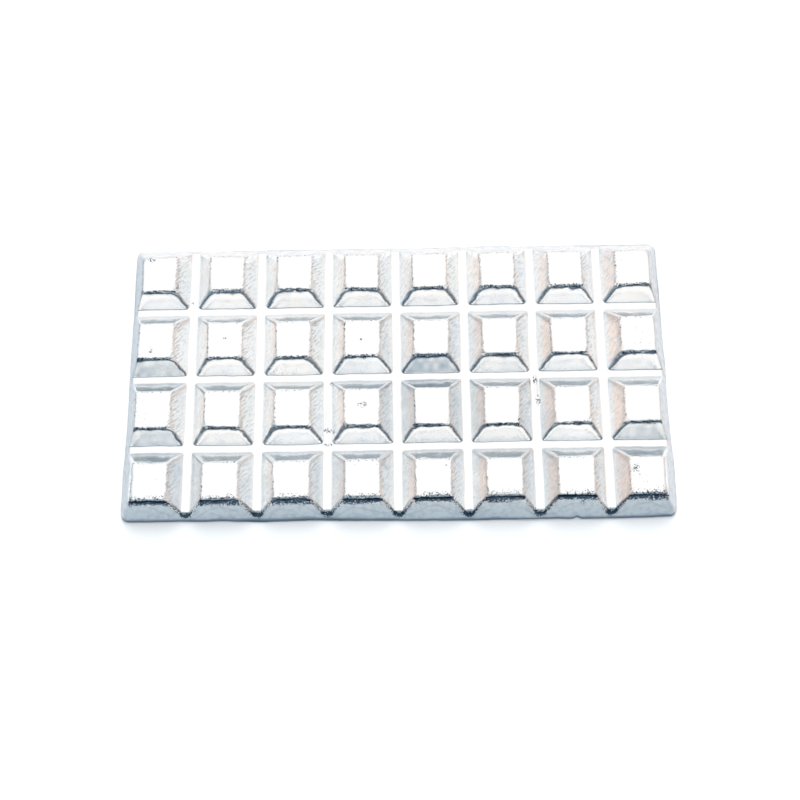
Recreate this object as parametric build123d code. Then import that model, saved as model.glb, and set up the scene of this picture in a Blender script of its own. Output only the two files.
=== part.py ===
"""Waffle ingot: one casting of light metal, a plate divided by grooves into a grid of pads.

The plate lies pads up, as it left the mould. Its flat underside was the open face of the pour.
Sizes are in millimetres. The origin is at the centre of the underside, +X runs along the
length, +Y across the width and +Z up through the pads.
"""

import os

from build123d import *

# Grid of pads
column_count = 8
row_count = 4
cell_length = 60.0  # from one column of pads to the next, along X
cell_width = 63.0  # from one row of pads to the next, along Y

# Pads and grooves
pad_top_length = 30.0  # to the sharp edge, before it is rounded
pad_top_width = 32.5
cross_groove_floor = 7.5  # floor of the grooves that run along Y, between columns
long_groove_floor = 6.0  # floor of the grooves that run along X, between rows
groove_depth = 14.0
web_thickness = 8.0  # metal left under a groove, where the plate is broken up

# Outer walls, which lean in from the underside to the tops of the pads
end_wall_run = 12.6  # lean of the two short ends
side_wall_run = 16.7  # lean of the two long sides
base_corner_radius = 7.0
top_corner_radius = 3.5

# Edges, as the mould and the freezing metal leave them
pad_edge_radius = 2.4  # rims and sloping hips of the pads, and groove mouths in the outer walls
base_rim_bevel = 1.2  # blunt rim of the underside, where the metal drew in as it froze

cut_overrun = 5.0  # how far a groove's cutter stands past the metal
same_place = 0.01  # positions closer together than this are one

thickness = web_thickness + groove_depth
top_length = (column_count - 1) * cell_length + pad_top_length
top_width = (row_count - 1) * cell_width + pad_top_width
base_length = top_length + 2 * end_wall_run
base_width = top_width + 2 * side_wall_run
middle_share = 0.5


def leaning_wall(low, high):
    """The wall between an edge of the underside and the edge of the top that it leans in to."""
    if low.geom_type == GeomType.LINE:
        outline = [low, Line(low @ 1, high @ 1), high, Line(high @ 0, low @ 0)]
        return make_face(outline).face()
    return Face.make_surface_from_curves(low, high)


def plain_block():
    """The casting before it is grooved: four flat walls with a tapering round corner between them."""
    underside = RectangleRounded(base_length, base_width, base_corner_radius).face()
    top = Pos(0, 0, thickness) * RectangleRounded(top_length, top_width, top_corner_radius).face()
    walls = [leaning_wall(low, high) for low, high in zip(underside.edges(), top.edges())]
    return Solid(Shell([underside, top, *walls]))


def groove_cutter(floor, cell, pad_top, reach):
    """A bar of trapezoid section along Y that cuts one groove, flanks and floor."""
    flank_run = (cell - pad_top - floor) / 2
    cutter_height = groove_depth + cut_overrun
    mouth_half = floor / 2 + flank_run * cutter_height / groove_depth
    section = Polyline(
        (-floor / 2, web_thickness),
        (floor / 2, web_thickness),
        (mouth_half, web_thickness + cutter_height),
        (-mouth_half, web_thickness + cutter_height),
        close=True,
    )
    return extrude(Plane.XZ * make_face(section), amount=reach / 2, both=True)


def groove_places(count, cell):
    """Positions of the grooves between a number of cells, centred on zero."""
    return [(index - count / 2) * cell for index in range(1, count)]


def grooved_block():
    """The plate with its pads, every edge still sharp."""
    cross_reach = base_width + 2 * cut_overrun
    long_reach = base_length + 2 * cut_overrun
    cross_cutter = groove_cutter(cross_groove_floor, cell_length, pad_top_length, cross_reach)
    long_cutter = Rot(0, 0, 90) * groove_cutter(long_groove_floor, cell_width, pad_top_width, long_reach)
    cutters = [Pos(x, 0, 0) * cross_cutter for x in groove_places(column_count, cell_length)]
    cutters += [Pos(0, y, 0) * long_cutter for y in groove_places(row_count, cell_width)]
    return plain_block() - cutters


def lies_at(edge, height):
    """True where all of an edge is at one height."""
    box = edge.bounding_box()
    return abs(box.min.Z - height) < same_place and abs(box.max.Z - height) < same_place


def in_outer_wall(edge):
    """True where an edge is in one of the four leaning outer walls."""
    point = edge @ middle_share
    fall = 1 - point.Z / thickness
    at_end = abs(point.X) > top_length / 2 + end_wall_run * fall - same_place
    at_side = abs(point.Y) > top_width / 2 + side_wall_run * fall - same_place
    return at_end or at_side


def is_pad_edge(edge):
    """True for the rims and hips of the pads and the ends of the groove floors."""
    from_floor_up = edge.bounding_box().min.Z > web_thickness - same_place
    inner_corner = lies_at(edge, web_thickness) and not in_outer_wall(edge)
    return from_floor_up and not inner_corner


def blunted(block):
    """The plate with its outer edges blunted. The inner corners along the groove floors stay crisp."""
    block = fillet([edge for edge in block.edges() if is_pad_edge(edge)], pad_edge_radius)
    base_rim = [edge for edge in block.edges() if lies_at(edge, 0)]
    return chamfer(base_rim, base_rim_bevel)


os.makedirs("parts", exist_ok=True)
export_step(blunted(grooved_block()), "parts/ingot.step")
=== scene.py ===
import math
from types import SimpleNamespace

import bpy
import numpy as np
from mathutils import Matrix, Vector


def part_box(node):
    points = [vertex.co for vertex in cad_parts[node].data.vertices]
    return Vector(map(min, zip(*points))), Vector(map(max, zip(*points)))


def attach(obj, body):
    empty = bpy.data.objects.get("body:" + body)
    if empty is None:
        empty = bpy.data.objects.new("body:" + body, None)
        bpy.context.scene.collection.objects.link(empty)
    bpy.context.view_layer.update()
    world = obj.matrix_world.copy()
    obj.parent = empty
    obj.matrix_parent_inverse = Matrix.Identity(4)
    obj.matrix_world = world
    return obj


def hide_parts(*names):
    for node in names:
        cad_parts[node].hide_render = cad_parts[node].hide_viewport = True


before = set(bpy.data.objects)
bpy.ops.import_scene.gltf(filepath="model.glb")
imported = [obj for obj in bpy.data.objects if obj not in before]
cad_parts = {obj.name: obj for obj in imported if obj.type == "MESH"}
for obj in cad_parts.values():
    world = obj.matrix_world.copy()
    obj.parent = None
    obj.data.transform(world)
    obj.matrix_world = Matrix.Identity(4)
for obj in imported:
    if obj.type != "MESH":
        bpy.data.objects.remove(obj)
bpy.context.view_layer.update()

# Lengths are in metres, colours linear and angles in degrees. A share is a part of one or a plain factor.
# Columns are counted from the left and rows from the front.

# Sizes of the casting, as in the part's source
column_count = 8
row_count = 4
flanks_per_pad = 4
cell_length = 0.060
cell_width = 0.063
pad_top_length = 0.030
pad_top_width = 0.0325
cross_groove_floor = 0.0075
long_groove_floor = 0.006
groove_depth = 0.014
web_thickness = 0.008
end_wall_run = 0.0126
side_wall_run = 0.0167
base_corner_radius = 0.007
base_rim_bevel = 0.0012

# Blends between neighbouring surfaces, as a difference of height
hip_blend = 0.0034
front_hip_blend = 0.0066
hip_spread_share = 0.35
hip_spread_size = 0.028
foot_hip_share = 0.52
rim_blend = 0.0016
front_rim_blend = 0.0034
rim_spread_share = 0.25
rim_spread_size = 0.005
mouth_blend = 0.0028
front_mouth_blend = 0.0064
front_wall_blend = 0.0056
floor_blend = 0.0004
floor_spread_share = 0.85
floor_spread_size = 0.0030
corner_blend = 0.009

# Grid of the modelled skin
columns_of_points = 412
rows_of_points = 224
station_steps = 40
crease_spacing_share = 0.38
crease_width = 0.0022
rim_ring_count = 4
lattice_margin = 3

# Unevenness of the casting: noise layers, each a size over the plan and a height
edge_waver = ((0.024, 0.00035), (0.007, 0.00022))
rim_rags = ((0.0045, 0.0003), (0.0019, 0.00050))
rim_rag_reach = 0.0022
hip_rags = ((0.0036, 0.00025), (0.0018, 0.00030))
hip_rag_reach = 0.0020
top_unevenness = ((0.022, 0.00010), (0.005, 0.00004))
floor_unevenness = ((0.030, 0.00012), (0.006, 0.00004))
flank_wrinkles = ((0.0042, 0.00009), (0.0022, 0.00006))
wall_wrinkles = ((0.012, 0.00025), (0.0035, 0.00010))
wall_waver = ((0.050, 0.0006), (0.015, 0.0002))
flank_lean_share = 0.025
top_allowance = 0.00025

# Relief in single places: a swirl on one flank, and runs of metal that froze on the groove floors
swirl_place = (0.0334, 0.0071)
swirl_reach = 0.011
swirl_relief = ((0.0050, 0.00050), (0.0026, 0.00025))
floor_runs = ((-0.0600, -0.0360, 0.0020, 0.0140), (0.1212, -0.0140, 0.0018, 0.0095))
floor_run_height = 0.0006
floor_run_edge_share = 0.5

# Outline of the underside, drawn in from its full size: place along the edge, and how far in
front_draws = (
    (-0.236, 0.0020),
    (-0.160, 0.0017),
    (-0.050, 0.0008),
    (0.060, 0.0),
    (0.180, 0.0),
    (0.236, 0.0009),
)
back_draws = (
    (-0.236, 0.0012),
    (0.074, 0.0010),
    (0.082, 0.0),
    (0.100, 0.0),
    (0.106, 0.0010),
    (0.236, 0.0012),
)
end_draws = ((-0.127, 0.0012), (-0.112, 0.0002), (-0.086, 0.0002), (-0.060, 0.0011), (0.127, 0.0014))
outline_waver = ((0.045, 0.0004), (0.018, 0.0004), (0.008, 0.0002))
nick_place = 0.1513
nick_half_width = 0.0022
nick_depth = 0.0016

# Seeds of the random draws
lean_seed = 5
waver_x_seed = 11
waver_y_seed = 23
foot_seed = 29
hip_spread_seed = 31
wrinkle_seed = 37
top_seed = 41
rim_rag_seed = 43
hip_rag_seed = 47
floor_seed = 53
swirl_seed = 59
end_outline_seed = 61
side_outline_seed = 67
wall_bow_seed = 71
wall_wrinkle_seed = 73
rim_spread_seed = 83
shade_patch_seed = 91
front_patch_seed = 103
shade_mottle_seed = 107

# Where the paint changes from pads to outer walls, as a lead on the blend
wall_lead_share = 0.85
front_lead_drop_share = 0.25
front_rim_lead_drop_share = 0.50

# Dark bands along the rims, round the groove mouths and up the hips: painted reflection of the studio's dark
# band in the rounded edges, with dross grains at their ragged edges
lip_width = 0.0013
front_row_lip_width = 0.0019
lip_shift = 0.0001
front_row_lip_shift = 0.0017
lip_depth = 0.0060
front_row_lip_depth = 0.0110
lip_share = 0.60
front_row_lip_share = 1.12
lip_edge_share = 1.3
lip_fade_share = 0.5
band_edge_share = 1.5
rim_dot_width = 0.0009
left_rim_share = 0.27
back_rim_share = 0.18
right_rim_dot_share = 0.15
mouth_lip_height = 0.0022
mouth_lip_shift = 0.0012
mouth_lip_share = 1.05
mouth_gain_share = 1.4
mouth_rise_share = 0.30
hip_band_height = 0.0020
hip_band_share = 0.50
# Painted contact shade where the outer walls meet the floor, strongest on the front wall
base_line_height = 0.0021
other_base_line_share = 0.2
floor_paint_height = 0.0012

# Painted shade on the skin, standing in for the darker parts of the studio seen in the metal: walls, rows of
# pads, a zone in the middle, and single flanks by column and row
front_wall_foot_share = 1.0
front_wall_rim_share = 0.68
back_wall_share = 0.10
left_wall_share = 0.62
right_wall_share = 0.42
side_row_shares = (0.08, 0.02, 0.0, 0.0)
back_row_shares = (0.08, 0.02, 0.0, 0.0)
back_foot_shares = (0.55, 0.42, 0.26, 0.0)
back_foot_reach_share = 0.50
left_foot_share = 0.10
right_rim_share = 0.05
shade_zone_place = (0.045, -0.028)
shade_zone_reach = 0.060
shade_zone_share = 0.24
front_flank_shade_shares = {
    (4, 2): 0.78,
    (0, 2): 0.54,
    (0, 1): 0.40,
    (7, 1): 0.46,
    (5, 2): 0.16,
    (3, 2): 0.10,
}
left_flank_shade_shares = {
    (1, 0): 0.14,
    (3, 0): 0.12,
    (6, 0): 0.12,
    (6, 1): 0.14,
    (4, 1): 0.08,
    (4, 2): 0.10,
}
right_flank_shade_shares = {
    (5, 1): 0.14,
    (5, 0): 0.10,
    (6, 0): 0.10,
    (0, 0): 0.10,
    (2, 0): 0.10,
    (3, 1): 0.06,
}
shade_mottle_share = 0.45
shade_mottle_size = 0.0045
shade_patches = ((0.030, 0.05), (0.008, 0.06))

# Lines where the metal froze in steps on the front wall: level, rise under each pad, wander
cold_lines = ((0.14, 0.04, 0.24), (0.46, 0.20, 0.62))
cold_line_width_share = 0.055
cold_line_wander_size = 0.030
cold_line_dark_share = 0.16
cold_line_relief_share = 0.5
cold_sway_size = 2 * cell_length
cold_sway_range = (0.25, 0.75)
cold_gap_size = cell_length / 3
cold_gap_range = (0.35, 0.55)

# Painted reflection of warm light on the flanks that face left, stronger towards the right and the front
warm_column_shares = (0.0, 0.45, 0.55, 0.70, 0.85, 0.90, 1.0, 1.0)
warm_row_shares = (1.0, 0.90, 0.88, 0.60)
warm_start_share = 0.50
warm_start_drop_share = 0.45
warm_rise_share = 0.40
back_wall_warm_share = 0.26
end_wall_warm_share = 0.28

# Stipple on the flanks
stipple_size = 0.0015
stipple_range = (0.53, 0.62)
stipple_share = 0.50
stipple_row_shares = (1.15, 0.95, 0.65, 0.40)
left_stipple_drop_share = 0.6
warm_stipple_drop_share = 0.7
right_stipple_foot_share = 0.05
right_stipple_rise_share = 0.50
back_stipple_share = 0.3
front_stipple_row_shares = (1.0, 1.0, 0.8, 0.3)
front_stipple_reach_share = 0.7
front_patch_size = 0.012
front_patch_level_share = 0.4
front_patch_spread_share = 1.6

# Streaks that run at a slant over the side flanks
streak_size = 0.0012
streak_range = (0.51, 0.61)
streak_stretch = 4.5
streak_depth_stretch = 100.0
streak_tilt = 55.0
streak_share = 0.75
streak_foot_share = 0.15
left_streak_share = 0.35

# Specks on the pads' tops: all of a top, by column and row, and along the front row's front edge
plain_speck_share = 0.25
speck_shares = {
    (7, 0): 0.58,
    (0, 0): 0.55,
    (2, 0): 0.4,
    (3, 0): 0.5,
    (0, 1): 0.55,
    (7, 2): 0.5,
    (7, 3): 0.4,
}
front_edge_speck_share = 1.5
front_edge_gain_share = 3.6
front_edge_offset_share = 0.7
speck_size = 0.0011
speck_cluster_size = 0.016
crowding_share = 0.50
pit_share = 0.40
pit_range = (1.45, 1.53)
grit_range = (0.28, 0.72)
band_range = (0.95, 1.12)

# Single dark marks: centre and half-sizes over the plan
marks = (
    (-0.0299, -0.0287, 0.0050, 0.0036),
    (-0.2171, 0.1085, 0.0046, 0.0026),
    (-0.1936, 0.0831, 0.0012, 0.0038),
    (-0.1822, 0.0720, 0.0016, 0.0026),
    (0.2000, -0.0880, 0.0040, 0.0050),
    (-0.2140, 0.0224, 0.0022, 0.0040),
    (-0.1499, 0.0334, 0.0020, 0.0014),
    (-0.0307, 0.0305, 0.0013, 0.0013),
    (0.1046, -0.0446, 0.0020, 0.0024),
    (0.0407, -0.0839, 0.0013, 0.0013),
    (-0.0600, -0.0480, 0.0045, 0.0030),
    (-0.0598, -0.0608, 0.0060, 0.0016),
    (-0.0570, -0.0060, 0.0020, 0.0030),
    (0.1205, -0.0048, 0.0030, 0.0050),
    (0.1223, -0.0231, 0.0026, 0.0060),
    (0.1549, -0.1151, 0.0030, 0.0022),
)
mark_grain_range = (0.48, 0.56)
mark_edge_range = (0.0, 0.5)

# Colours of the skin
bright_cool = (0.945, 0.955, 0.965, 1)
bright_warm = (0.970, 0.965, 0.955, 1)
# Blue-grey of the painted shade on flanks and outer walls
shade_colour = (0.44, 0.52, 0.58, 1)
stipple_grey = (0.48, 0.54, 0.58, 1)
wall_grey = (0.66, 0.71, 0.75, 1)
# Colour of the painted reflection of warm light
warm_reflection_tint = (1.0, 0.815, 0.725, 1)
# Dark blue-grey of the dross pits and marks, also used for the painted reflection of the studio's dark band
# along rims, mouths and hips
dross_and_reflected_dark = (0.036, 0.072, 0.112, 1)
# Colour of the painted contact shade at the foot of the outer walls
base_contact_shade = (0.13, 0.19, 0.25, 1)
rust = (0.82, 0.70, 0.64, 1)
white = (1, 1, 1, 1)
patch_size = 0.035
patch_range = (0.35, 0.65)
warm_patch_size = 0.010
warm_patch_range = (0.12, 0.50)
wall_mottle_size = 0.0045
wall_mottle_range = (0.42, 0.64)
wall_mottle_share = 0.45

# Fine relief and sheen of the skin
grain_size = 0.0022
grain_relief_share = 0.35
skin_relief_share = 0.3
streak_relief_share = 0.5
bump_distance = 0.0004
bump_strength = 0.5
plain_roughness = 0.09
roughness_spread = 0.14
flank_roughness = 0.02
wall_roughness = 0.28

# Studio
floor_size = 12.0
floor_colour = (0.80, 0.83, 0.86, 1)
floor_lift = 0.08
lamp_energy = 2.4
lamp_colour = (1.0, 0.98, 0.95)
lamp_spread = 42.0
lamp_direction = Vector((-0.06, -0.95, -0.85))
# Light over the object, by the share of the turn from the back horizon over the top to the front
studio_over = (
    (0.0, (1.0, 1.0, 1.0)),
    (0.3, (1.09, 1.09, 1.09)),
    (0.595, (1.09, 1.09, 1.09)),
    (0.638, (0.28, 0.355, 0.41)),
    (0.662, (0.205, 0.28, 0.335)),
    (0.682, (0.465, 0.54, 0.585)),
    (0.70, (0.595, 0.65, 0.68)),
    (0.712, (0.52, 0.585, 0.62)),
    (0.735, (0.055, 0.105, 0.165)),
    (0.828, (0.055, 0.105, 0.165)),
    (0.856, (1.0, 0.995, 0.985)),
    (0.90, (1.11, 1.10, 1.085)),
    (0.970, (1.11, 1.10, 1.085)),
    (0.986, (0.42, 0.46, 0.49)),
    (1.0, (0.26, 0.30, 0.33)),
)
# The same light from the left to the right
studio_across = (
    (0.10, (0.62, 0.67, 0.70)),
    (0.22, (0.95, 0.97, 0.98)),
    (0.30, (0.92, 0.95, 0.96)),
    (0.40, (1.0, 1.0, 1.0)),
    (0.61, (1.0, 1.0, 1.0)),
    (0.70, (1.0, 0.985, 0.97)),
    (0.80, (0.98, 0.96, 0.945)),
    (0.92, (0.72, 0.66, 0.63)),
)

# Camera, fitted to the grid of pads in the photograph
camera_place = Vector((0.01252, -0.32421, 0.98865))
camera_elevation = 72.824
camera_azimuth = -1.892
camera_roll = -2.642
camera_lens = 53.14
sensor_width = 36.0

high_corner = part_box("ingot")[1]
half_length = high_corner.x
half_width = high_corner.y
thickness = high_corner.z
top_half_length = ((column_count - 1) * cell_length + pad_top_length) / 2
top_half_width = ((row_count - 1) * cell_width + pad_top_width) / 2
end_slope = thickness / end_wall_run
side_slope = thickness / side_wall_run
rim_height = thickness - end_slope * (half_length - top_half_length)


def smooth_lower(a, b, blend):
    """The lower of two heights, rounded off where they are within blend of each other."""
    near = np.maximum(blend - np.abs(a - b), 0) / blend
    return np.minimum(a, b) - near * near * blend / 4


def smooth_upper(a, b, blend):
    """The higher of two heights, rounded off likewise."""
    return -smooth_lower(-a, -b, blend)


def ease(value):
    """Smooth step from 0 to 1."""
    value = np.clip(value, 0, 1)
    return value * value * (3 - 2 * value)


def bell(distance, reach):
    """1 at no distance, falling off smoothly over the reach."""
    return np.exp(-((distance / reach) ** 2))


def lattice_noise(x, y, size, seed):
    """Seeded smooth noise from -1 to 1 over the plan, with features of that size."""
    reach = 2 * half_length
    u = (x + reach) / size
    v = (y + reach) / size
    count = int(2 * reach / size) + lattice_margin
    lattice = np.random.default_rng(seed).uniform(-1, 1, (count, count))
    i = np.floor(u).astype(int)
    j = np.floor(v).astype(int)
    f = ease(u - i)
    g = ease(v - j)
    low = lattice[i, j] * (1 - f) + lattice[i + 1, j] * f
    high = lattice[i, j + 1] * (1 - f) + lattice[i + 1, j + 1] * f
    return low * (1 - g) + high * g


def layered_noise(x, y, layers, seed):
    """Sum of noise layers, each a size and a height."""
    total_height = np.zeros_like(x)
    for index, (size, height) in enumerate(layers):
        total_height += height * lattice_noise(x, y, size, seed + index)
    return total_height


def creases(count, cell, floor, pad_top, top_half, half):
    """Places along one axis where the surface turns: rims, feet of flanks and the outline."""
    places = [-half, -top_half, top_half, half]
    for index in range(1, count):
        middle = (index - count / 2) * cell
        for side in (-1, 1):
            places.append(middle + side * floor / 2)
            places.append(middle + side * (cell - pad_top) / 2)
    return places


def stations(half, places, count):
    """Grid lines along one axis, set closer together at the creases."""
    fine = np.linspace(-half, half, count * station_steps)
    extra = 1 / crease_spacing_share - 1
    density = np.ones_like(fine)
    for place in places:
        density += extra * bell(fine - place, crease_width)
    share = np.concatenate(([0], np.cumsum((density[1:] + density[:-1]) / 2)))
    return np.interp(np.linspace(0, share[-1], count), share, fine)


def round_plan_corners(x, y):
    """Draws the corners of a rectangular grid in to the rounded outline."""
    p = np.clip((np.abs(x) - half_length) / base_corner_radius + 1, 0, 1)
    q = np.clip((np.abs(y) - half_width) / base_corner_radius + 1, 0, 1)
    drawn_p = p * np.sqrt(1 - q * q / 2)
    drawn_q = q * np.sqrt(1 - p * p / 2)
    x = x - np.sign(x) * (p - drawn_p) * base_corner_radius
    y = y - np.sign(y) * (q - drawn_q) * base_corner_radius
    return x, y


def drawn_in(place, draws):
    """How far in the outline lies at a place along one edge."""
    places, amounts = zip(*draws)
    return np.interp(place, places, amounts)


def draw_in_outline(x, y):
    """Moves the outline and the foot of the outer walls in by an uneven amount, never out."""
    reach_x = ease((np.abs(x) - top_half_length) / (half_length - top_half_length))
    reach_y = ease((np.abs(y) - top_half_width) / (half_width - top_half_width))
    along_ends = layered_noise(np.sign(x) * half_length, y, outline_waver, end_outline_seed)
    along_ends += drawn_in(y, end_draws)
    front = drawn_in(x, front_draws) + nick_depth * bell(x - nick_place, nick_half_width)
    along_sides = layered_noise(x, np.sign(y) * half_width, outline_waver, side_outline_seed)
    along_sides += np.where(y < 0, front, drawn_in(x, back_draws))
    x = x - np.sign(x) * reach_x * np.maximum(along_ends, 0)
    y = y - np.sign(y) * reach_y * np.maximum(along_sides, 0)
    return x, y


def pad_place(place, count, cell):
    """Index of the pad at a place along one axis, and the distance from that pad's middle."""
    index = np.clip(np.floor(place / cell + count / 2), 0, count - 1)
    return index.astype(int), place - (index + 0.5 - count / 2) * cell


def two_flanks(offset, index, count, cell, floor, pad_top, leans):
    """Height over the groove floor of the two flanks that face along one axis."""
    slope = 2 * groove_depth / (cell - pad_top - floor)
    foot = (cell - floor) / 2
    far = np.full_like(offset, 2 * groove_depth)
    low_side = np.where(index == 0, far, (foot + offset) * slope * (1 + leans[0]))
    high_side = np.where(index == count - 1, far, (foot - offset) * slope * (1 + leans[1]))
    return np.minimum(low_side, high_side)


def floor_heights(x, y):
    """Groove floors: nearly flat, with the frozen runs of metal on them."""
    floor = layered_noise(x, y, floor_unevenness, floor_seed)
    for middle_x, middle_y, half_x, half_y in floor_runs:
        inside = 1 - ((x - middle_x) / half_x) ** 2 - ((y - middle_y) / half_y) ** 2
        floor += floor_run_height * ease(inside / floor_run_edge_share)
    return floor


def pad_fields(x, y):
    """Where each point lies on its pad, and how high the pad's surfaces stand over the groove floor."""
    spot = SimpleNamespace()
    spot.column, u = pad_place(x, column_count, cell_length)
    spot.row, v = pad_place(y, row_count, cell_width)
    table_shape = (flanks_per_pad, column_count, row_count)
    leans = np.random.default_rng(lean_seed).normal(0, flank_lean_share, table_shape)
    leans = leans[:, spot.column, spot.row]
    spot.u = u + layered_noise(x, y, edge_waver, waver_x_seed)
    spot.v = v + layered_noise(x, y, edge_waver, waver_y_seed)
    facing_x = two_flanks(
        spot.u, spot.column, column_count, cell_length, cross_groove_floor, pad_top_length, leans[:2]
    )
    facing_y = two_flanks(
        spot.v, spot.row, row_count, cell_width, long_groove_floor, pad_top_width, leans[2:]
    )
    towards_front = ease(0.5 - spot.v / pad_top_width)
    hip = hip_blend + (front_hip_blend - hip_blend) * towards_front
    hip *= 1 + hip_spread_share * lattice_noise(x, y, hip_spread_size, hip_spread_seed)
    risen = np.clip(np.minimum(facing_x, facing_y) / groove_depth, 0, 1)
    hip *= foot_hip_share + (1 - foot_hip_share) * risen
    pads = smooth_lower(facing_x, facing_y, hip) + layered_noise(x, y, flank_wrinkles, wrinkle_seed)
    pads += bell(facing_x - facing_y, hip_rag_reach) * layered_noise(x, y, hip_rags, hip_rag_seed)
    pads += bell(pads - groove_depth, rim_rag_reach) * layered_noise(x, y, rim_rags, rim_rag_seed)
    swirl = bell(np.hypot(x - swirl_place[0], y - swirl_place[1]), swirl_reach)
    pads += swirl * layered_noise(x, y, swirl_relief, swirl_seed)
    top = groove_depth - top_allowance + layered_noise(x, y, top_unevenness, top_seed)
    spot.uneven = 1 + rim_spread_share * lattice_noise(x, y, rim_spread_size, rim_spread_seed)
    rim = rim_blend + (front_rim_blend - rim_blend) * ease(-2 * spot.v / pad_top_width)
    spot.pad_top = ease((pads - top) / (rim * spot.uneven))
    spot.flank_height = np.clip(pads / groove_depth, 0, 1)
    spot.sideways = ease(0.5 + (facing_y - facing_x) / hip)
    pads = smooth_lower(pads, top, rim * spot.uneven)
    foot = floor_blend * (1 + floor_spread_share * lattice_noise(x, y, floor_spread_size, foot_seed))
    spot.pads = smooth_upper(pads, floor_heights(x, y), foot)
    return spot


def wall_fields(x, y, spot):
    """Adds the leaning outer walls and the height of the whole skin."""
    bow = layered_noise(x, y, wall_waver, wall_bow_seed)
    wrinkles = layered_noise(x, y, wall_wrinkles, wall_wrinkle_seed)
    end_wall = rim_height + end_slope * (half_length - np.abs(x) + bow) + wrinkles
    side_wall = rim_height + side_slope * (half_width - np.abs(y) + bow) + wrinkles
    walls = smooth_lower(end_wall, side_wall, corner_blend)
    spot.level = np.clip(walls / thickness, 0, 1)
    spot.at_side = ease(0.5 + (end_wall - side_wall) / corner_blend)
    front = ease(-y / top_half_width)
    front_blend = front_mouth_blend + (front_wall_blend - front_mouth_blend) * spot.flank_height
    blend = (mouth_blend + (front_blend - mouth_blend) * front) * spot.uneven
    spot.past = web_thickness + spot.pads - walls
    drop = front_lead_drop_share + front_rim_lead_drop_share * spot.flank_height
    spot.outer_wall = ease(spot.past / blend + wall_lead_share - front * drop)
    spot.height = smooth_lower(web_thickness + spot.pads, walls, blend)
    floor = ease(1 - spot.pads / floor_paint_height)
    spot.flank = (1 - spot.pad_top) * (1 - floor) * (1 - spot.outer_wall)


def by_pad(spot, shares, plain):
    """A share for each point's pad: the plain one, but for the pads that are named."""
    table = np.full((column_count, row_count), float(plain))
    for pad, share in shares.items():
        table[pad] = share
    return table[spot.column, spot.row]


def by_row(spot, shares):
    """A share for each point's row of pads."""
    return np.array(shares)[spot.row]


def skin_painted_shade(x, y, spot):
    """Share of painted shade at each point of the skin, standing in for the darker parts of the studio seen
    in the flanks and outer walls.
    """
    lefts = by_pad(spot, left_flank_shade_shares, 0) + left_foot_share * (1 - spot.flank_height)
    rights = by_pad(spot, right_flank_shade_shares, 0) + right_rim_share * spot.flank_height
    zone = np.hypot(x - shade_zone_place[0], y - shade_zone_place[1])
    sides = np.where(spot.u < 0, lefts, rights)
    sides += by_row(spot, side_row_shares) + shade_zone_share * bell(zone, shade_zone_reach)
    mottle = lattice_noise(x, y, shade_mottle_size, shade_mottle_seed)
    fronts = by_pad(spot, front_flank_shade_shares, 0) * (1 + shade_mottle_share * mottle)
    back_foot = ease(1 - spot.flank_height / back_foot_reach_share)
    backs = by_row(spot, back_row_shares) + by_row(spot, back_foot_shares) * back_foot
    ends = np.where(spot.v < 0, fronts, backs)
    painted_shade = spot.flank * (spot.sideways * sides + (1 - spot.sideways) * ends)
    painted_shade += spot.flank * layered_noise(x, y, shade_patches, shade_patch_seed)
    front_wall = front_wall_foot_share + (front_wall_rim_share - front_wall_foot_share) * spot.level
    long_walls = np.where(y < 0, front_wall, back_wall_share)
    end_walls = np.where(x < 0, left_wall_share, right_wall_share)
    painted_shade += spot.outer_wall * (end_walls * (1 - spot.at_side) + long_walls * spot.at_side)
    return np.clip(painted_shade, 0, 1)


def speck_density(spot):
    """How thickly the tops are pitted."""
    near_edge = -front_edge_gain_share * spot.v / pad_top_width - front_edge_offset_share
    front_edge = front_edge_speck_share * ease(near_edge) * (spot.row == 0)
    density = np.maximum(by_pad(spot, speck_shares, plain_speck_share), front_edge)
    return density * spot.pad_top * (1 - spot.outer_wall)


def rim_bands(spot):
    """Painted reflection of the studio's dark band along the rims of the tops, with dross grains: in front,
    beside and behind.
    """
    front_row = spot.row == 0
    lip = np.where(front_row, front_row_lip_width, lip_width)
    shift = np.where(front_row, front_row_lip_shift, lip_shift)
    depth = np.where(front_row, front_row_lip_depth, lip_depth)
    strength = np.where(front_row, front_row_lip_share, lip_share)
    near_top = ease((spot.height - thickness) / depth + 1)
    off_edge = np.abs(spot.v + pad_top_width / 2 + shift)
    front_lip = strength * near_top * ease((lip_edge_share - off_edge / lip) / lip_fade_share)
    front_lip *= ease(band_edge_share + (pad_top_length / 2 - np.abs(spot.u)) / lip)
    beside = ease(band_edge_share - np.abs(np.abs(spot.u) - pad_top_length / 2) / rim_dot_width)
    beside *= (np.abs(spot.v) < pad_top_width / 2) * near_top
    behind = ease(band_edge_share - np.abs(spot.v - pad_top_width / 2) / rim_dot_width)
    behind *= (np.abs(spot.u) < pad_top_length / 2) * near_top
    return front_lip, beside, behind


def mouth_band(y, spot):
    """Painted reflection of the studio's dark band round the groove mouths in the front wall, which goes on
    up the hips beside them.
    """
    past_rims = ease((-y - top_half_width) / rim_rag_reach)
    up_hip = ease(spot.flank_height / mouth_rise_share)
    aside = (cell_length / 2 - np.abs(spot.u)) / (cross_groove_floor / 2)
    middle = mouth_lip_shift * (1 - np.clip(aside, 0, 1) ** 2) * (1 - up_hip)
    reach = mouth_lip_height + (hip_band_height - mouth_lip_height) * up_hip
    strength = mouth_lip_share * (1 - (1 - hip_band_share) * up_hip)
    return strength * past_rims * np.minimum(mouth_gain_share * bell(spot.past - middle, reach), 1)


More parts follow.
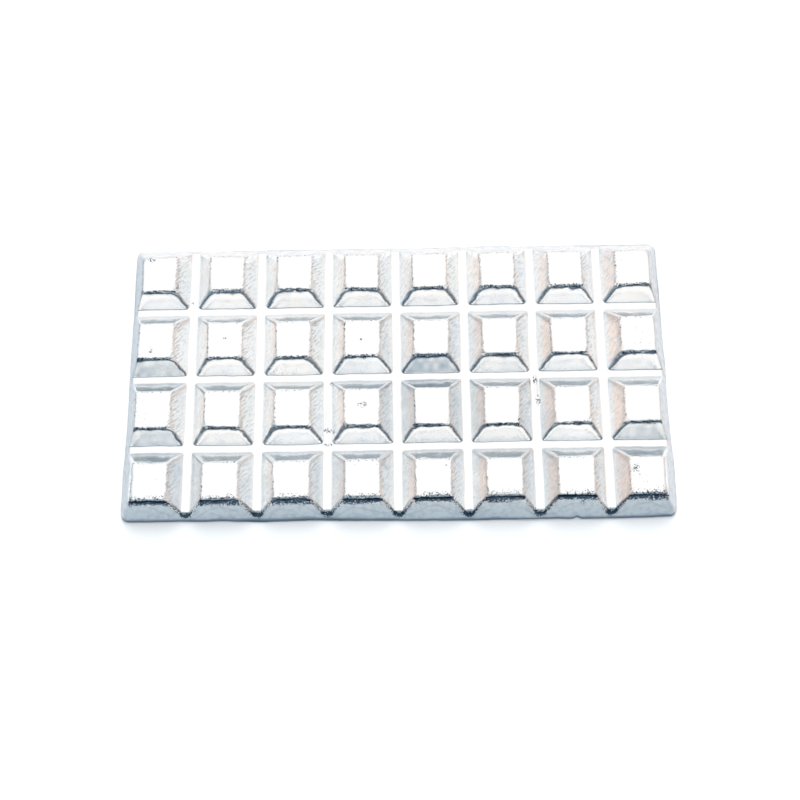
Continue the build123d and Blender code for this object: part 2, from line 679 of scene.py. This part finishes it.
def flank_stipple(x, y, spot, left_side, right_side, warm):
    """Stipple: at the foot of the left flanks, up the right ones and in patches on the front ones."""
    on_left = (1 - left_stipple_drop_share * spot.flank_height) * (1 - warm_stipple_drop_share * warm)
    on_right = right_stipple_foot_share + right_stipple_rise_share * spot.flank_height
    beside = (left_side * on_left + right_side * on_right) * by_row(spot, stipple_row_shares)
    patches = front_patch_spread_share * lattice_noise(x, y, front_patch_size, front_patch_seed)
    in_front = ease(front_patch_level_share + patches) * by_row(spot, front_stipple_row_shares)
    in_front *= ease(1 - spot.flank_height / front_stipple_reach_share)
    ends = np.where(spot.v < 0, in_front, back_stipple_share)
    return beside + spot.flank * (1 - spot.sideways) * ends


def skin_warm_reflection(y, spot, left_side, warm):
    """Painted reflection of warm light: on the left flanks, from lower down the further right, and on the
    back and end walls.
    """
    along = spot.column / (column_count - 1)
    start = warm_start_share - warm_start_drop_share * along**2
    warm_reflection = left_side * warm * ease((spot.flank_height - start) / warm_rise_share)
    back_wall = back_wall_warm_share * spot.at_side * (y > 0)
    end_walls = end_wall_warm_share * (1 - spot.at_side)
    return warm_reflection + spot.outer_wall * (back_wall + end_walls)


def skin_paints(x, y, spot):
    """Values stored on the skin's points for its material."""
    front_lip, beside, behind = rim_bands(spot)
    front_wall = spot.at_side * (y < 0)
    left_side = spot.flank * spot.sideways * (spot.u < 0)
    right_side = spot.flank * spot.sideways * (spot.u > 0)
    warm = np.array(warm_column_shares)[spot.column] * by_row(spot, warm_row_shares)
    # Painted contact shade along the foot of the outer walls
    base_line = ease(band_edge_share - (spot.height - rim_height) / base_line_height)
    base_line *= other_base_line_share + (1 - other_base_line_share) * front_wall
    right_streaks = streak_foot_share + (1 - streak_foot_share) * spot.flank_height
    return {
        "pad_top": spot.pad_top * (1 - spot.outer_wall),
        "specks": speck_density(spot),
        # front_lip, rim_dots and mouth_lip hold the painted reflection of the studio's dark band, broken
        # into dross grains
        "front_lip": front_lip,
        "rim_dots": np.maximum(left_rim_share * beside * (spot.u < 0), back_rim_share * behind),
        "right_rim_dots": right_rim_dot_share * beside * (spot.u > 0),
        "mouth_lip": mouth_band(y, spot),
        "outer_wall": spot.outer_wall,
        "base_line": base_line * spot.outer_wall,
        "painted_shade": skin_painted_shade(x, y, spot),
        "warm_reflection": skin_warm_reflection(y, spot, left_side, warm),
        "streaked": right_side * right_streaks + left_streak_share * left_side,
        "stippled": flank_stipple(x, y, spot, left_side, right_side, warm),
        "front_wall": spot.outer_wall * front_wall,
        "flank": spot.flank,
    }


def outline_ring(columns, rows):
    """Indices of the grid's outermost points, going round once."""
    front = list(range(columns))
    right = [j * columns + columns - 1 for j in range(1, rows)]
    back = [(rows - 1) * columns + i for i in range(columns - 2, -1, -1)]
    left = [j * columns for j in range(rows - 2, 0, -1)]
    return np.array(front + right + back + left)


def rim_layers(edge):
    """Rings of points that take the outline round under to the flat underside."""
    ahead = np.roll(edge, -1, axis=0) - np.roll(edge, 1, axis=0)
    inward = np.stack([-ahead[:, 1], ahead[:, 0], np.zeros(len(edge))], axis=1)
    inward /= np.linalg.norm(inward, axis=1, keepdims=True)
    layers = []
    for step in range(1, rim_ring_count + 1):
        turn = math.pi / 2 * step / rim_ring_count
        under = edge + inward * base_rim_bevel * (1 - math.cos(turn))
        under[:, 2] = rim_height * (1 - math.sin(turn))
        layers.append(under)
    return layers


def ingot_mesh():
    """The casting's skin: the waffled upper side, the blunt rim and the flat underside."""
    x_lines = stations(
        half_length,
        creases(column_count, cell_length, cross_groove_floor, pad_top_length, top_half_length, half_length),
        columns_of_points,
    )
    y_lines = stations(
        half_width,
        creases(row_count, cell_width, long_groove_floor, pad_top_width, top_half_width, half_width),
        rows_of_points,
    )
    grid_x, grid_y = round_plan_corners(*np.meshgrid(x_lines, y_lines))
    spot = pad_fields(grid_x, grid_y)
    wall_fields(grid_x, grid_y, spot)
    paints = skin_paints(grid_x, grid_y, spot)
    grid_x, grid_y = draw_in_outline(grid_x, grid_y)
    ring = outline_ring(columns_of_points, rows_of_points)
    points = np.stack([grid_x.ravel(), grid_y.ravel(), spot.height.ravel()], axis=1)
    points[ring, 2] = rim_height

    index = np.arange(columns_of_points * rows_of_points).reshape(rows_of_points, columns_of_points)
    quads = np.stack([index[:-1, :-1], index[:-1, 1:], index[1:, 1:], index[1:, :-1]], axis=-1)
    faces = quads.reshape(-1, 4).tolist()
    starts = len(points) + len(ring) * np.arange(rim_ring_count)
    rings = [ring] + [start + np.arange(len(ring)) for start in starts]
    for upper, lower in zip(rings, rings[1:]):
        strip = np.stack([upper, lower, np.roll(lower, -1), np.roll(upper, -1)], axis=1)
        faces += strip.tolist()
    faces.append(rings[-1][::-1].tolist())

    mesh = bpy.data.meshes.new("ingot_skin")
    mesh.from_pydata(np.concatenate([points, *rim_layers(points[ring])]).tolist(), [], faces)
    mesh.update()
    mesh.polygons.foreach_set("use_smooth", [True] * len(mesh.polygons))
    for name, values in paints.items():
        paint = mesh.attributes.new(name, "FLOAT", "POINT")
        below = np.tile(values.ravel()[ring], rim_ring_count)
        paint.data.foreach_set("value", np.concatenate([values.ravel(), below]))
    return mesh


def new_node(tree, kind, **settings):
    """Adds a shader node and sets its properties."""
    node = tree.nodes.new(kind)
    for name, value in settings.items():
        setattr(node, name, value)
    return node


def feed(tree, socket, value):
    """Links an output to a socket, or sets the socket to a plain value."""
    if isinstance(value, bpy.types.NodeSocket):
        tree.links.new(value, socket)
    else:
        socket.default_value = value


def calculate(tree, operation, first, second=0.0):
    """Result of one sum on two values, or on the first alone."""
    node = new_node(tree, "ShaderNodeMath", operation=operation)
    feed(tree, node.inputs[0], first)
    feed(tree, node.inputs[1], second)
    return node.outputs[0]


def together(tree, operation, values):
    """Result of the same sum on several values, one after the other."""
    result = values[0]
    for value in values[1:]:
        result = calculate(tree, operation, result, value)
    return result


def product(tree, *values):
    """Product of several values."""
    return together(tree, "MULTIPLY", values)


def total(tree, *values):
    """Sum of several values."""
    return together(tree, "ADD", values)


def highest(tree, *values):
    """Highest of several values."""
    return together(tree, "MAXIMUM", values)


def spread(tree, value, limits):
    """Stretches the range between the limits over 0 to 1, clamped."""
    node = new_node(tree, "ShaderNodeMapRange", interpolation_type="SMOOTHSTEP")
    feed(tree, node.inputs["Value"], value)
    node.inputs["From Min"].default_value = limits[0]
    node.inputs["From Max"].default_value = limits[1]
    return node.outputs["Result"]


def speckle(tree, coordinates, size, detail):
    """Noise from 0 to 1 with features of that size in metres."""
    node = new_node(tree, "ShaderNodeTexNoise")
    feed(tree, node.inputs["Vector"], coordinates)
    node.inputs["Scale"].default_value = 1 / size
    node.inputs["Detail"].default_value = detail
    return node.outputs["Fac"]


def mixed(tree, factor, first, second, blend_type="MIX"):
    """Mix of two colours."""
    node = new_node(tree, "ShaderNodeMix", data_type="RGBA", blend_type=blend_type)
    feed(tree, node.inputs[0], factor)
    feed(tree, node.inputs[6], first)
    feed(tree, node.inputs[7], second)
    return node.outputs[2]


def ramp(tree, factor, stops):
    """Colour ramp with the given positions and colours."""
    node = new_node(tree, "ShaderNodeValToRGB")
    feed(tree, node.inputs[0], factor)
    elements = node.color_ramp.elements
    while len(elements) < len(stops):
        elements.new(1)
    for element, (position, colour) in zip(elements, stops):
        element.position = position
        element.color = (*colour, 1)
    return node.outputs[0]


def painted(tree, name):
    """A value stored on the mesh's points."""
    return new_node(tree, "ShaderNodeAttribute", attribute_name=name).outputs["Fac"]


def near_marks(tree, place):
    """1 at the middle of each single mark, falling to 0 at its edge."""
    closest = 0.0
    for middle_x, middle_y, half_x, half_y in marks:
        offset = new_node(tree, "ShaderNodeVectorMath", operation="SUBTRACT")
        feed(tree, offset.inputs[0], place)
        offset.inputs[1].default_value = (middle_x, middle_y, 0)
        scaled = new_node(tree, "ShaderNodeVectorMath", operation="MULTIPLY")
        feed(tree, scaled.inputs[0], offset.outputs["Vector"])
        scaled.inputs[1].default_value = (1 / half_x, 1 / half_y, 0)
        length = new_node(tree, "ShaderNodeVectorMath", operation="LENGTH")
        feed(tree, length.inputs[0], scaled.outputs["Vector"])
        inside = calculate(tree, "SUBTRACT", 1.0, length.outputs["Value"])
        closest = highest(tree, closest, inside)
    return closest


def frozen_steps(tree, place):
    """1 on the lines that sweep along the front wall, rising under each pad."""
    axes = new_node(tree, "ShaderNodeSeparateXYZ")
    feed(tree, axes.inputs[0], place)
    level = calculate(tree, "DIVIDE", axes.outputs["Z"], thickness)
    wave = calculate(tree, "COSINE", product(tree, axes.outputs["X"], 2 * math.pi / cell_length))
    strongest = 0.0
    for index, (share, rise, wander) in enumerate(cold_lines):
        along = new_node(tree, "ShaderNodeCombineXYZ")
        feed(tree, along.inputs["X"], axes.outputs["X"])
        along.inputs["Y"].default_value = index * cell_width
        drift = speckle(tree, along.outputs[0], cold_line_wander_size, detail=1)
        middle = total(tree, product(tree, drift, wander), share - wander / 2)
        sway = spread(tree, speckle(tree, along.outputs[0], cold_sway_size, detail=1), cold_sway_range)
        fall = product(tree, wave, sway, 2 * rise)
        off = calculate(tree, "ABSOLUTE", total(tree, calculate(tree, "SUBTRACT", level, middle), fall))
        line = calculate(tree, "SUBTRACT", 1.0, calculate(tree, "DIVIDE", off, cold_line_width_share))
        strongest = highest(tree, strongest, line)
    gaps = spread(tree, speckle(tree, place, cold_gap_size, detail=1), cold_gap_range)
    return product(tree, strongest, gaps, painted(tree, "front_wall"))


def slanting_streaks(tree, place):
    """Streaks over the side flanks, stretched along a slant and straight down through the metal."""
    slant = new_node(tree, "ShaderNodeMapping", vector_type="TEXTURE")
    feed(tree, slant.inputs["Vector"], place)
    slant.inputs["Rotation"].default_value = (0, 0, math.radians(streak_tilt))
    slant.inputs["Scale"].default_value = (streak_stretch, 1, streak_depth_stretch)
    streaks = spread(tree, speckle(tree, slant.outputs["Vector"], streak_size, detail=2), streak_range)
    return product(tree, streaks, painted(tree, "streaked"))


def clean_skin(tree, place, streaks):
    """Colour of the metal without the dross and painted dark bands, but with its painted shade, painted
    contact shade and painted reflection of warm light.
    """
    patches = spread(tree, speckle(tree, place, patch_size, detail=2), patch_range)
    colour = mixed(tree, patches, bright_cool, bright_warm)
    warm = spread(tree, speckle(tree, place, warm_patch_size, detail=3), warm_patch_range)
    # Painted reflection of warm light on the left flanks and outer walls
    colour = mixed(tree, product(tree, warm, painted(tree, "warm_reflection")), colour, warm_reflection_tint)
    stipple = spread(tree, speckle(tree, place, stipple_size, detail=3), stipple_range)
    stipple = product(tree, stipple, painted(tree, "stippled"), stipple_share)
    colour = mixed(tree, stipple, colour, stipple_grey)
    colour = mixed(tree, product(tree, streaks, streak_share), colour, stipple_grey)
    # Painted shade: the blue-grey of the studio's darker parts seen in the metal
    colour = mixed(tree, painted(tree, "painted_shade"), colour, shade_colour)
    cloud = spread(tree, speckle(tree, place, wall_mottle_size, detail=4), wall_mottle_range)
    cloud = product(tree, cloud, painted(tree, "outer_wall"), wall_mottle_share)
    colour = mixed(tree, cloud, colour, wall_grey, "MULTIPLY")
    # Painted contact shade at the foot of the outer walls
    return mixed(tree, painted(tree, "base_line"), colour, base_contact_shade)


def dark_spots(tree, place, fine, grit, frozen):
    """Share of the dark colour: dross pits, single marks, cold lines, and grains of the painted reflection
    of the studio's dark band along rims, mouths and hips.
    """
    crowding = product(tree, speckle(tree, place, speck_cluster_size, detail=2), crowding_share)
    density = total(tree, crowding, product(tree, painted(tree, "specks"), pit_share))
    pits = spread(tree, total(tree, grit, density), pit_range)
    pits = product(tree, pits, painted(tree, "pad_top"))
    # Painted reflection of the studio's dark band along rims, mouths and hips, broken into dross-like grains
    bands = highest(tree, painted(tree, "front_lip"), painted(tree, "rim_dots"), painted(tree, "mouth_lip"))
    grains = spread(tree, total(tree, grit, bands), band_range)
    near = spread(tree, near_marks(tree, place), mark_edge_range)
    mark = product(tree, spread(tree, fine, mark_grain_range), near)
    return highest(tree, pits, mark, grains, product(tree, frozen, cold_line_dark_share))


def skin_roughness(tree, place):
    """Roughness of the skin: uneven, and highest on the outer walls."""
    sheen = product(tree, speckle(tree, place, speck_cluster_size, detail=3), roughness_spread)
    on_flank = product(tree, painted(tree, "flank"), flank_roughness)
    on_wall = product(tree, painted(tree, "outer_wall"), wall_roughness)
    return total(tree, on_flank, on_wall, sheen, plain_roughness)


def skin_relief(tree, place, streaks, frozen):
    """Height of the finest relief, from grain, stipple, streaks and cold lines."""
    grain = product(tree, speckle(tree, place, grain_size, detail=4), grain_relief_share)
    textured = highest(tree, painted(tree, "flank"), painted(tree, "front_lip"), painted(tree, "outer_wall"))
    skin = product(tree, speckle(tree, place, stipple_size, detail=2), textured, skin_relief_share)
    relief = total(tree, grain, skin, product(tree, streaks, streak_relief_share))
    return calculate(tree, "SUBTRACT", relief, product(tree, frozen, cold_line_relief_share))


def cast_metal():
    """Bright as-cast aluminium with pits, painted shade, a painted reflection of the studio's dark band
    along the rims with dross grains, and a finely wrinkled skin.
    """
    material = bpy.data.materials.new("cast_metal")
    material.use_nodes = True
    tree = material.node_tree
    shader = tree.nodes["Principled BSDF"]
    shader.inputs["Metallic"].default_value = 1.0
    place = new_node(tree, "ShaderNodeTexCoord").outputs["Object"]
    fine = speckle(tree, place, speck_size, detail=2)
    grit = spread(tree, fine, grit_range)
    streaks = slanting_streaks(tree, place)
    frozen = frozen_steps(tree, place)

    colour = clean_skin(tree, place, streaks)
    # Dross pits and marks, and the painted reflection of the studio's dark band
    colour = mixed(tree, dark_spots(tree, place, fine, grit, frozen), colour, dross_and_reflected_dark)
    brown = spread(tree, total(tree, grit, painted(tree, "right_rim_dots")), band_range)
    feed(tree, shader.inputs["Base Color"], mixed(tree, brown, colour, rust))
    feed(tree, shader.inputs["Roughness"], skin_roughness(tree, place))

    bump = new_node(tree, "ShaderNodeBump")
    bump.inputs["Strength"].default_value = bump_strength
    bump.inputs["Distance"].default_value = bump_distance
    feed(tree, bump.inputs["Height"], skin_relief(tree, place, streaks, frozen))
    feed(tree, shader.inputs["Normal"], bump.outputs["Normal"])
    return material


def make_world():
    """Studio by direction: bright behind and overhead, with dark bands towards the camera's side."""
    world = bpy.data.worlds.new("studio")
    bpy.context.scene.world = world
    world.use_nodes = True
    tree = world.node_tree
    background = tree.nodes["Background"]
    direction = new_node(tree, "ShaderNodeSeparateXYZ")
    feed(tree, direction.inputs[0], new_node(tree, "ShaderNodeTexCoord").outputs["Generated"])
    angle = calculate(tree, "ARCTAN2", direction.outputs["Z"], direction.outputs["Y"])
    over = ramp(tree, calculate(tree, "DIVIDE", angle, math.pi), studio_over)
    sideways = total(tree, product(tree, direction.outputs["X"], 0.5), 0.5)
    studio = mixed(tree, 1.0, over, ramp(tree, sideways, studio_across), "MULTIPLY")
    seen = new_node(tree, "ShaderNodeLightPath").outputs["Is Camera Ray"]
    feed(tree, background.inputs["Color"], mixed(tree, seen, studio, white))
    background.inputs["Strength"].default_value = 1.0


def make_floor():
    """Pale studio floor, lifted to white where it is seen directly or in the metal."""
    bpy.ops.mesh.primitive_plane_add(size=floor_size)
    floor = bpy.context.object
    floor.name = "floor"
    material = bpy.data.materials.new("floor_white")
    material.use_nodes = True
    tree = material.node_tree
    shader = tree.nodes["Principled BSDF"]
    shader.inputs["Base Color"].default_value = floor_colour
    shader.inputs["Roughness"].default_value = 1.0
    shader.inputs["Specular IOR Level"].default_value = 0.0
    shader.inputs["Emission Color"].default_value = white
    path = new_node(tree, "ShaderNodeLightPath").outputs
    seen = highest(tree, path["Is Camera Ray"], path["Is Glossy Ray"], path["Is Transmission Ray"])
    feed(tree, shader.inputs["Emission Strength"], product(tree, seen, floor_lift))
    floor.data.materials.append(material)


def make_lamp():
    """One soft lamp from the back, which lights the floor and casts the shadow to the front."""
    data = bpy.data.lights.new("key", "SUN")
    data.energy = lamp_energy
    data.color = lamp_colour
    data.angle = math.radians(lamp_spread)
    lamp = bpy.data.objects.new("key", data)
    bpy.context.scene.collection.objects.link(lamp)
    lamp.rotation_euler = lamp_direction.to_track_quat("-Z", "Y").to_euler()
    lamp.visible_glossy = False


def make_camera():
    """Camera at the photograph's place."""
    data = bpy.data.cameras.new("camera")
    data.lens = camera_lens
    data.sensor_width = sensor_width
    camera = bpy.data.objects.new("camera", data)
    bpy.context.scene.collection.objects.link(camera)
    elevation = math.radians(camera_elevation)
    azimuth = math.radians(camera_azimuth)
    forward = Vector(
        (
            math.sin(azimuth) * math.cos(elevation),
            math.cos(azimuth) * math.cos(elevation),
            -math.sin(elevation),
        )
    )
    level = forward.to_track_quat("-Z", "Y").to_matrix().to_4x4()
    roll = Matrix.Rotation(math.radians(camera_roll), 4, "Z")
    camera.matrix_world = Matrix.Translation(camera_place) @ level @ roll
    bpy.context.scene.camera = camera


ingot = bpy.data.objects.new("ingot_casting", ingot_mesh())
bpy.context.scene.collection.objects.link(ingot)
ingot.data.materials.append(cast_metal())
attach(ingot, "root")
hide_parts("ingot")

make_world()
make_floor()
make_lamp()
make_camera()
bpy.context.scene.view_settings.view_transform = "Standard"
